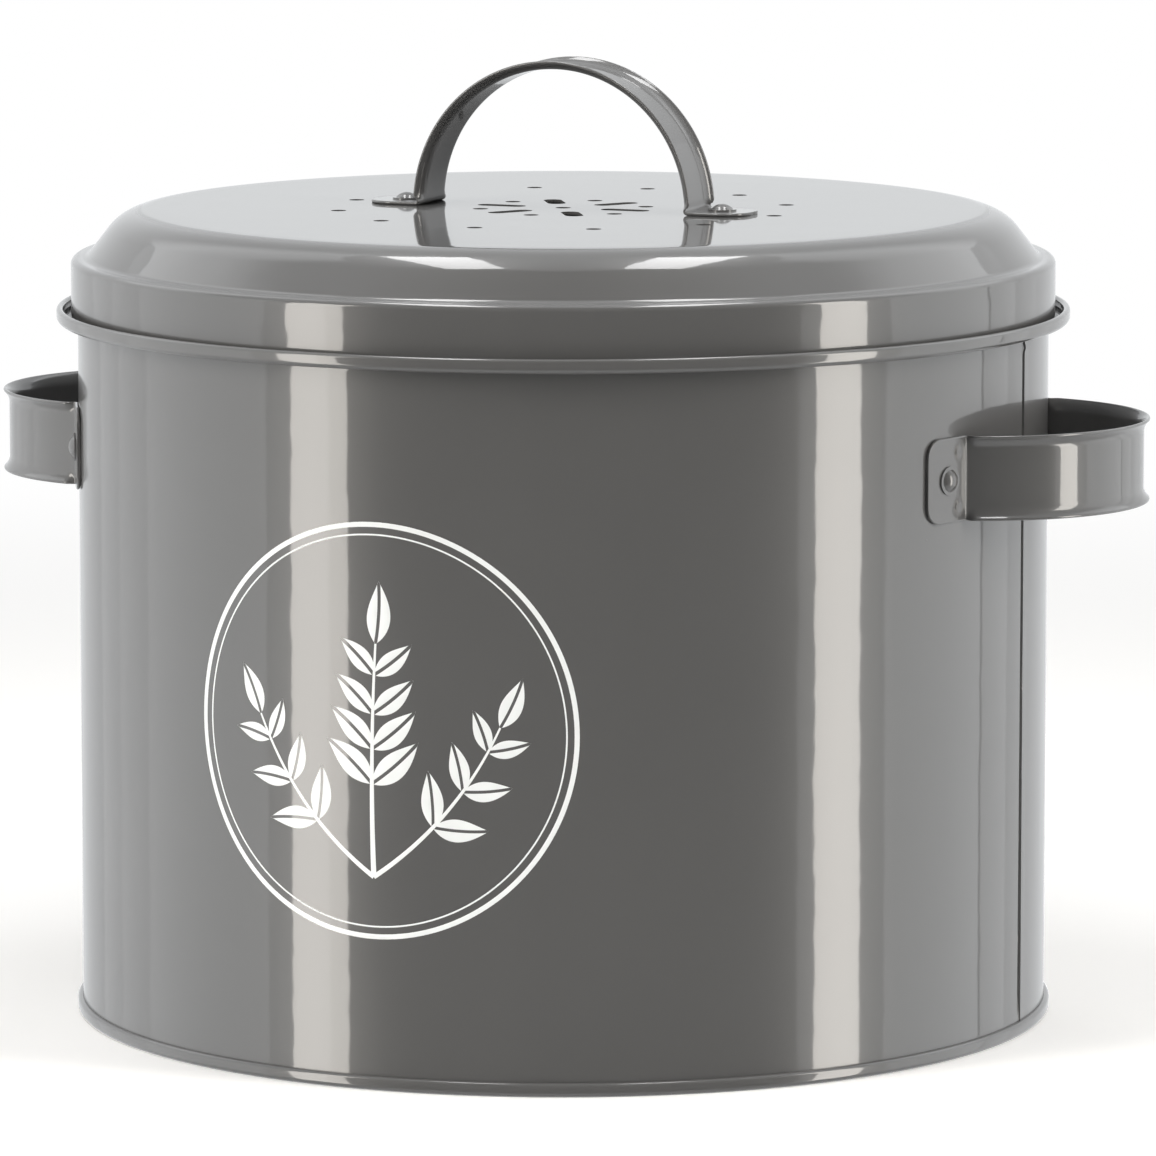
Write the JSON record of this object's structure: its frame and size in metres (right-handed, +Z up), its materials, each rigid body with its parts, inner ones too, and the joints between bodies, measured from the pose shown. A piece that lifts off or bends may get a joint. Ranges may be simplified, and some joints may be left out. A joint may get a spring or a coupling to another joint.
{
  "type": "compost bin",
  "caption": "Round lacquered-steel kitchen compost bin with riveted strap ears and a vented lift-off lid that has an arched handle and a charcoal filter under it.",
  "frame": {"origin": "on the ground, under the middle of the base", "axes": "+Z up along the bin's axis, +X along the line through the two ears, to the right ear, behind which lies the wall's lock seam"},
  "size_m": [0.2942, 0.2504, 0.2362],
  "materials": {
    "grey_lacquer": "gloss stove lacquer on sheet steel",
    "black_plastic": "fine-grained moulded black",
    "charcoal_pad": "open charcoal-filled foam"
  },
  "bodies": {
    "bin": {"body_wall": "grey_lacquer", "base_plate": "grey_lacquer", "ear_right": "grey_lacquer", "ear_left": "grey_lacquer", "ear_rivet_1": "grey_lacquer", "ear_rivet_2": "grey_lacquer", "ear_rivet_3": "grey_lacquer", "ear_rivet_4": "grey_lacquer"},
    "lid": {"lid_shell": "grey_lacquer", "lid_handle": "grey_lacquer", "lid_rivet_1": "grey_lacquer", "lid_rivet_2": "grey_lacquer", "filter_collar": "grey_lacquer"},
    "filter": {"filter_cover": "black_plastic", "filter_pad": "charcoal_pad"}
  },
  "joints": [
    {"name": "lid_lift", "type": "slide", "parent": "bin", "child": "lid", "axis": [0, 0, 1], "range_m": [0, 0.12]},
    {"name": "filter_drop", "type": "slide", "parent": "lid", "child": "filter", "axis": [0, 0, -1], "range_m": [0, 0.025]}
  ]
}
